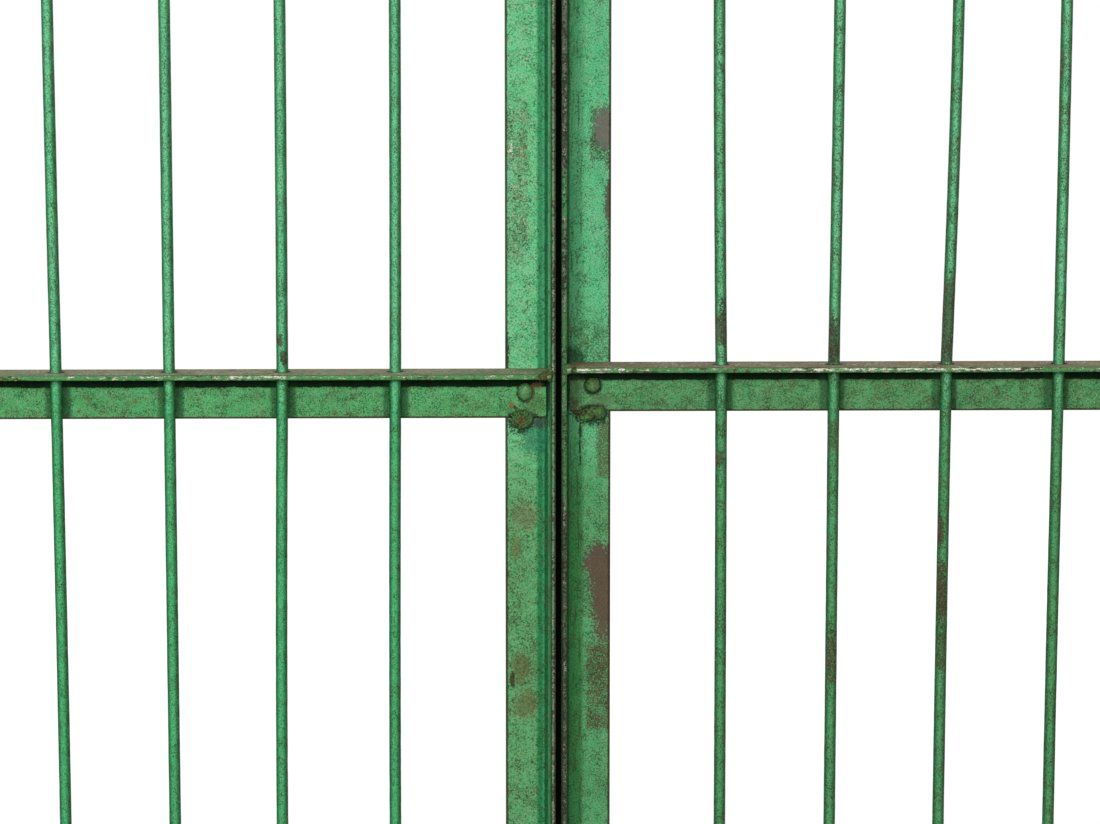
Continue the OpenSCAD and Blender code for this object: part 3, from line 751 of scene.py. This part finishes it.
for side, bar_green, low_green, rust in (
    ("left", (74, 182, 118), (39, 169, 91), 0.30),
    ("right", (84, 168, 108), (60, 121, 51), 0.90),
):
    bars = []
    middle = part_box(f"{side}_middle_rail")[1].z
    for i in range(1, 8):
        low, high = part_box(f"{side}_bar_{i}")
        centre = (low + high) / 2
        foot, top = low.z + head_rise, high.z - head_rise
        bm = bmesh.new()
        bmesh.ops.create_cone(
            bm, cap_ends=True, segments=bar_sides, radius1=bar_radius, radius2=bar_radius, depth=top - foot)
        uprights = [e for e in bm.edges if abs(e.verts[0].co.z - e.verts[1].co.z) > 0.1]
        bmesh.ops.subdivide_edges(bm, edges=uprights, cuts=bar_rings, use_grid_fill=True)
        bmesh.ops.translate(bm, vec=(centre.x, centre.y, (foot + top) / 2), verts=bm.verts)
        flank = bm.verts.layers.float.new("flank")
        for v in bm.verts:
            out = Vector((v.co.x - centre.x, v.co.y - centre.y, 0.0))
            v[flank] = out.x / bar_radius
            pit = noise.fractal(Vector((v.co.x * 120 + i * 7.0, v.co.y * 120, v.co.z * 70)), 0.6, 2.0, 4)
            v.co += out * (pit_depth * pit - pit_level)
            if v.co.z > middle:
                share, bow = (v.co.z - middle) / (top - middle), bow_up[side][i - 1]
            else:
                share, bow = (middle - v.co.z) / (middle - foot), bow_down[side][i - 1]
            v.co.x += 0.001 * bow * math.sin(math.pi * share)
        for end, up in ((top, 1.0), (foot, -1.0)):
            made = bmesh.ops.create_uvsphere(bm, u_segments=20, v_segments=10, radius=head_radius)["verts"]
            bmesh.ops.delete(bm, geom=[v for v in made if v.co.z < -1e-5], context="VERTS")
            cap = [v for v in made if v.is_valid]
            rim = [e for e in {e for v in cap for e in v.link_edges} if e.is_boundary]
            bmesh.ops.edgeloop_fill(bm, edges=rim)
            bmesh.ops.scale(bm, vec=(1.0, 1.0, up * head_rise / head_radius), verts=cap)
            bmesh.ops.translate(bm, vec=(centre.x, centre.y, end), verts=cap)
        bar = finish_piece(bm, f"{side}_round_bar_{i}", f"{side}_leaf")
        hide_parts(f"{side}_bar_{i}")
        bars.append(bar)
    bar_coat = Coat(f"{side}_bar_green", bar_green)
    bar_coat.mottle(light=(106, 196, 140), dark=(52, 118, 66), seed=61.0 + 10.0 * rust, run=(1.0, 1.0, 2.6))
    around = bar_coat.tree.nodes.new("ShaderNodeAttribute")
    around.attribute_name = "flank"
    turn = around.outputs["Fac"]
    # Painted shade darkens both sides of each bar, the right side also streaked with dirt. A pale streak
    # down the front is a painted highlight.
    left_flank_shade = bar_coat.step(turn, -0.30, -0.95)
    right_flank_shade_and_dirt = bar_coat.step(turn, 0.18, 0.80)
    film = bar_coat.step(bar_coat.grain(0.005, 4.0, 0.7, (1.0, 1.0, 3.0), 68.0 + rust), 0.28, 0.60)
    front_highlight = bar_coat.step(bar_coat.math("ABSOLUTE", bar_coat.math("ADD", turn, 0.08)), 0.60, 0.15)
    bar_coat.tint(bar_coat.times(front_highlight, 0.65), (122, 206, 154))
    below = bar_coat.step(bar_coat.axis["z"], middle + 0.01, middle - 0.06)
    bar_coat.tint(bar_coat.times(below, 0.55), low_green)
    bar_coat.tint(bar_coat.times(left_flank_shade, 0.85), (16, 80, 42))
    shade_and_dirt_film = bar_coat.math("MULTIPLY_ADD", film, 0.40, 0.48)
    bar_coat.tint(bar_coat.times(right_flank_shade_and_dirt, shade_and_dirt_film), (44, 70, 26), bare=0.3)
    both_flanks_shade = bar_coat.step(bar_coat.math("ABSOLUTE", turn), 0.70, 0.97)
    bar_coat.tint(bar_coat.times(both_flanks_shade, 0.55), (26, 50, 24))
    worn = bar_coat.grain(0.024, 6.0, 0.72, (1.0, 1.0, 3.5), 66.0 + rust)
    worn_through = bar_coat.step(worn, 0.68 - 0.12 * rust, 0.74 - 0.12 * rust)
    from_meeting = bar_coat.math("ABSOLUTE", bar_coat.math("SUBTRACT", bar_coat.axis["x"], meeting_x))
    outer_bars = bar_coat.step(from_meeting, 0.44, 0.46)
    bar_coat.tint(bar_coat.times(outer_bars, worn_through, 0.8), (80, 66, 48), bare=0.8)
    for n, (across, up, half_w, half_h, colour, strength) in enumerate(bar_rust[side]):
        bar_coat.patch(
            meeting_x + across, up, half_w, half_h, colour, strength=strength, bare=0.4, seed=90.0 + n)
    bar_coat.specks((70, 150, 96), 0.24, seed=63.0 + rust, drifts=0.05)
    bar_coat.specks((72, 62, 40), 0.10 + 0.20 * rust, seed=62.0 + rust, bare=0.5, cover=0.8)
    bar_coat.specks((34, 56, 30), 0.16, size=0.0014, seed=64.0 + rust, cover=0.8)
    bar_coat.dress(bars, seed=61.0 + rust, gloss=0.5, shine=0.08)

# Rivets
# One round-headed rivet through each lap of rail and stile, set hot and painted over.
# The heads have gone olive, and the dark ring round the two at the middle of the gate is painted shade on
# the rail.
rivet_radius = 0.0075
rivet_rise = 0.0058
rivet_in = {"left": 0.0299, "right": 0.0318}
rivet_drop = 0.0227
rivet_sunk = 0.0006
dents = 0.09
rivets = {"left": [], "right": []}
laps = [(side, level, stile) for side in rivets for level in rail_levels for stile in ("meeting", "hinge")]
for side, level, stile in laps:
    low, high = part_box(f"{side}_{level}_rail")
    z = low.z + rivet_drop if level == "bottom" else high.z - rivet_drop
    stile_low, stile_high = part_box(f"{side}_{stile}_stile")
    heel_at_right = (side == "left") == (stile == "meeting")
    x = stile_high.x - rivet_in[side] if heel_at_right else stile_low.x + rivet_in[side]
    tall = 1.18 if (side, level, stile) == ("left", "middle", "meeting") else 0.98
    bm = bmesh.new()
    bmesh.ops.create_uvsphere(bm, u_segments=32, v_segments=20, radius=rivet_radius)
    for v in bm.verts:
        v.co += v.co * dents * noise.noise(v.co * 240.0 + Vector((x * 40.0, z * 40.0, 0.0)))
    bmesh.ops.scale(bm, vec=(1.0, rivet_rise / rivet_radius, tall), verts=bm.verts)
    bmesh.ops.translate(bm, vec=(x, rail_face, z), verts=bm.verts)
    cut = bmesh.ops.bisect_plane(
        bm, geom=bm.verts[:] + bm.edges[:] + bm.faces[:], plane_co=(0.0, rail_face + rivet_sunk, 0.0),
        plane_no=(0.0, 1.0, 0.0), clear_outer=True)
    rim = [e for e in cut["geom_cut"] if isinstance(e, bmesh.types.BMEdge)]
    bmesh.ops.edgeloop_fill(bm, edges=rim)
    rivets[side].append(finish_piece(bm, f"{side}_{level}_{stile}_rivet", f"{side}_leaf"))
for side, rivet_green, seed in (("left", (72, 124, 66), 71.0), ("right", (66, 100, 48), 75.0)):
    rivet_coat = Coat(f"{side}_rivet_green", rivet_green)
    rivet_coat.mottle(light=tuple(c + 16 for c in rivet_green), dark=(50, 84, 42), seed=seed)
    rivet_coat.specks((92, 74, 44), 0.20, seed=seed + 1.0, bare=0.6)
    rivet_coat.specks((122, 186, 128), 0.20, seed=seed + 2.0, drifts=0.08)
    rivet_coat.dress(rivets[side], seed=seed, gloss=0.62, shine=0.25)

# Welds of the leaf frames
# Lumps of arc weld that hold each rail's upright leg to the stile, and small ones where the
# lying leg meets the stile's edge. They were never dressed, and rust sits in their hollows.


def weld_lump(name, body, lobes, back):
    """Runs blobs of weld, each a middle and three radii, into one lump that is flat at the back."""
    bm = bmesh.new()
    for n, (x, y, z, rx, ry, rz) in enumerate(lobes):
        made = bmesh.ops.create_icosphere(bm, subdivisions=4, radius=1.0)["verts"]
        for v in made:
            rough = 1.0 + 0.16 * noise.noise(v.co * 2.3 + Vector((x * 90.0, z * 90.0, n)))
            rough += 0.05 * noise.noise(v.co * 7.0 + Vector((z * 50.0, x * 50.0, n)))
            flat_y = min(back, y + v.co.y * ry * rough)
            v.co = Vector((x + v.co.x * rx * rough, flat_y, z + v.co.z * rz * rough))
    lump = finish_piece(bm, name, body)
    skin = lump.modifiers.new("one_skin", "REMESH")
    skin.mode = "VOXEL"
    skin.voxel_size = 0.0007
    skin.use_smooth_shade = True
    return lump


weld_back = flat_face + 0.0008
past_all = 1.0
lumps = []
for side, level, stile in laps:
    low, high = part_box(f"{side}_{level}_rail")
    edge = high.z if level == "bottom" else low.z
    ledge = low.z + leg_thick / 2 if level == "bottom" else high.z - leg_thick / 2
    down = 1.0 if level == "bottom" else -1.0
    stile_low, stile_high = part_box(f"{side}_{stile}_stile")
    heel_at_right = (side == "left") == (stile == "meeting")
    heel, way = (stile_high.x, -1.0) if heel_at_right else (stile_low.x, 1.0)
    corner = heel + way * 0.0058
    wide = 0.010 + 0.003 * noise.noise(Vector((heel * 9.0, edge * 9.0, 1.0)))
    lobes = [
        (heel + way * 0.0300, 0.0168, edge + down * 0.0012, wide, 0.0062, 0.0068),
        (heel + way * (0.0300 + wide * 0.9), 0.0172, edge + down * 0.0002, 0.0060, 0.0050, 0.0050),
    ]
    corner_lobes = [
        (corner, -0.0262, ledge + 0.0012, 0.0036, 0.0038, 0.0052),
        (corner + way * 0.0055, -0.0278, ledge + 0.0006, 0.0050, 0.0030, 0.0036),
    ]
    if (side, level, stile) == ("left", "middle", "meeting"):
        lobes = [(heel - 0.0332, 0.0165, edge - 0.0010, 0.0112, 0.0075, 0.0100)]
        corner_lobes = [
            (corner, -0.0262, ledge + 0.0030, 0.0034, 0.0036, 0.0082),
            (corner - 0.0048, -0.0275, ledge + 0.0015, 0.0052, 0.0032, 0.0048),
            (corner - 0.0100, -0.0284, ledge + 0.0004, 0.0050, 0.0024, 0.0034),
        ]
    if (side, level, stile) == ("right", "middle", "meeting"):
        lobes = [
            (heel + 0.0252, 0.0165, edge - 0.0035, 0.0075, 0.0065, 0.0068),
            (heel + 0.0330, 0.0160, edge + 0.0010, 0.0080, 0.0062, 0.0045),
            (heel + 0.0385, 0.0165, edge - 0.0012, 0.0068, 0.0066, 0.0062),
            (heel + 0.0170, 0.0175, edge - 0.0005, 0.0060, 0.0040, 0.0028),
        ]
    lumps.append(weld_lump(f"{side}_{level}_{stile}_weld", f"{side}_leaf", lobes, weld_back))
    lumps.append(weld_lump(f"{side}_{level}_{stile}_corner_weld", f"{side}_leaf", corner_lobes, past_all))
lump_coat = Coat("leaf_weld_green", (80, 112, 66))
lump_coat.mottle(light=(92, 140, 78), dark=(40, 50, 24), seed=81.0)
lump_coat.specks((74, 150, 86), 0.30, seed=87.0, drifts=0.08)
lump_coat.specks((92, 70, 40), 0.32, seed=84.0, bare=0.6)
lump_coat.specks((28, 32, 16), 0.34, seed=86.0)
lump_coat.patch(
    meeting_x - 0.0375, 0.9920, 0.0030, 0.0026, (104, 66, 38), ragged=0.4,
    strength=0.85, bare=0.8, seed=82.0)
lump_coat.patch(
    meeting_x + 0.0185, 0.9990, 0.0040, 0.0030, (78, 54, 40), ragged=0.5,
    strength=0.8, bare=0.8, seed=83.0)
lump_coat.patch(
    meeting_x - 0.0100, 1.0415, 0.0090, 0.0060, (82, 74, 42), ragged=0.4,
    strength=0.75, bare=0.6, seed=85.0)
lump_coat.dress(lumps, seed=81.0, gloss=0.5)
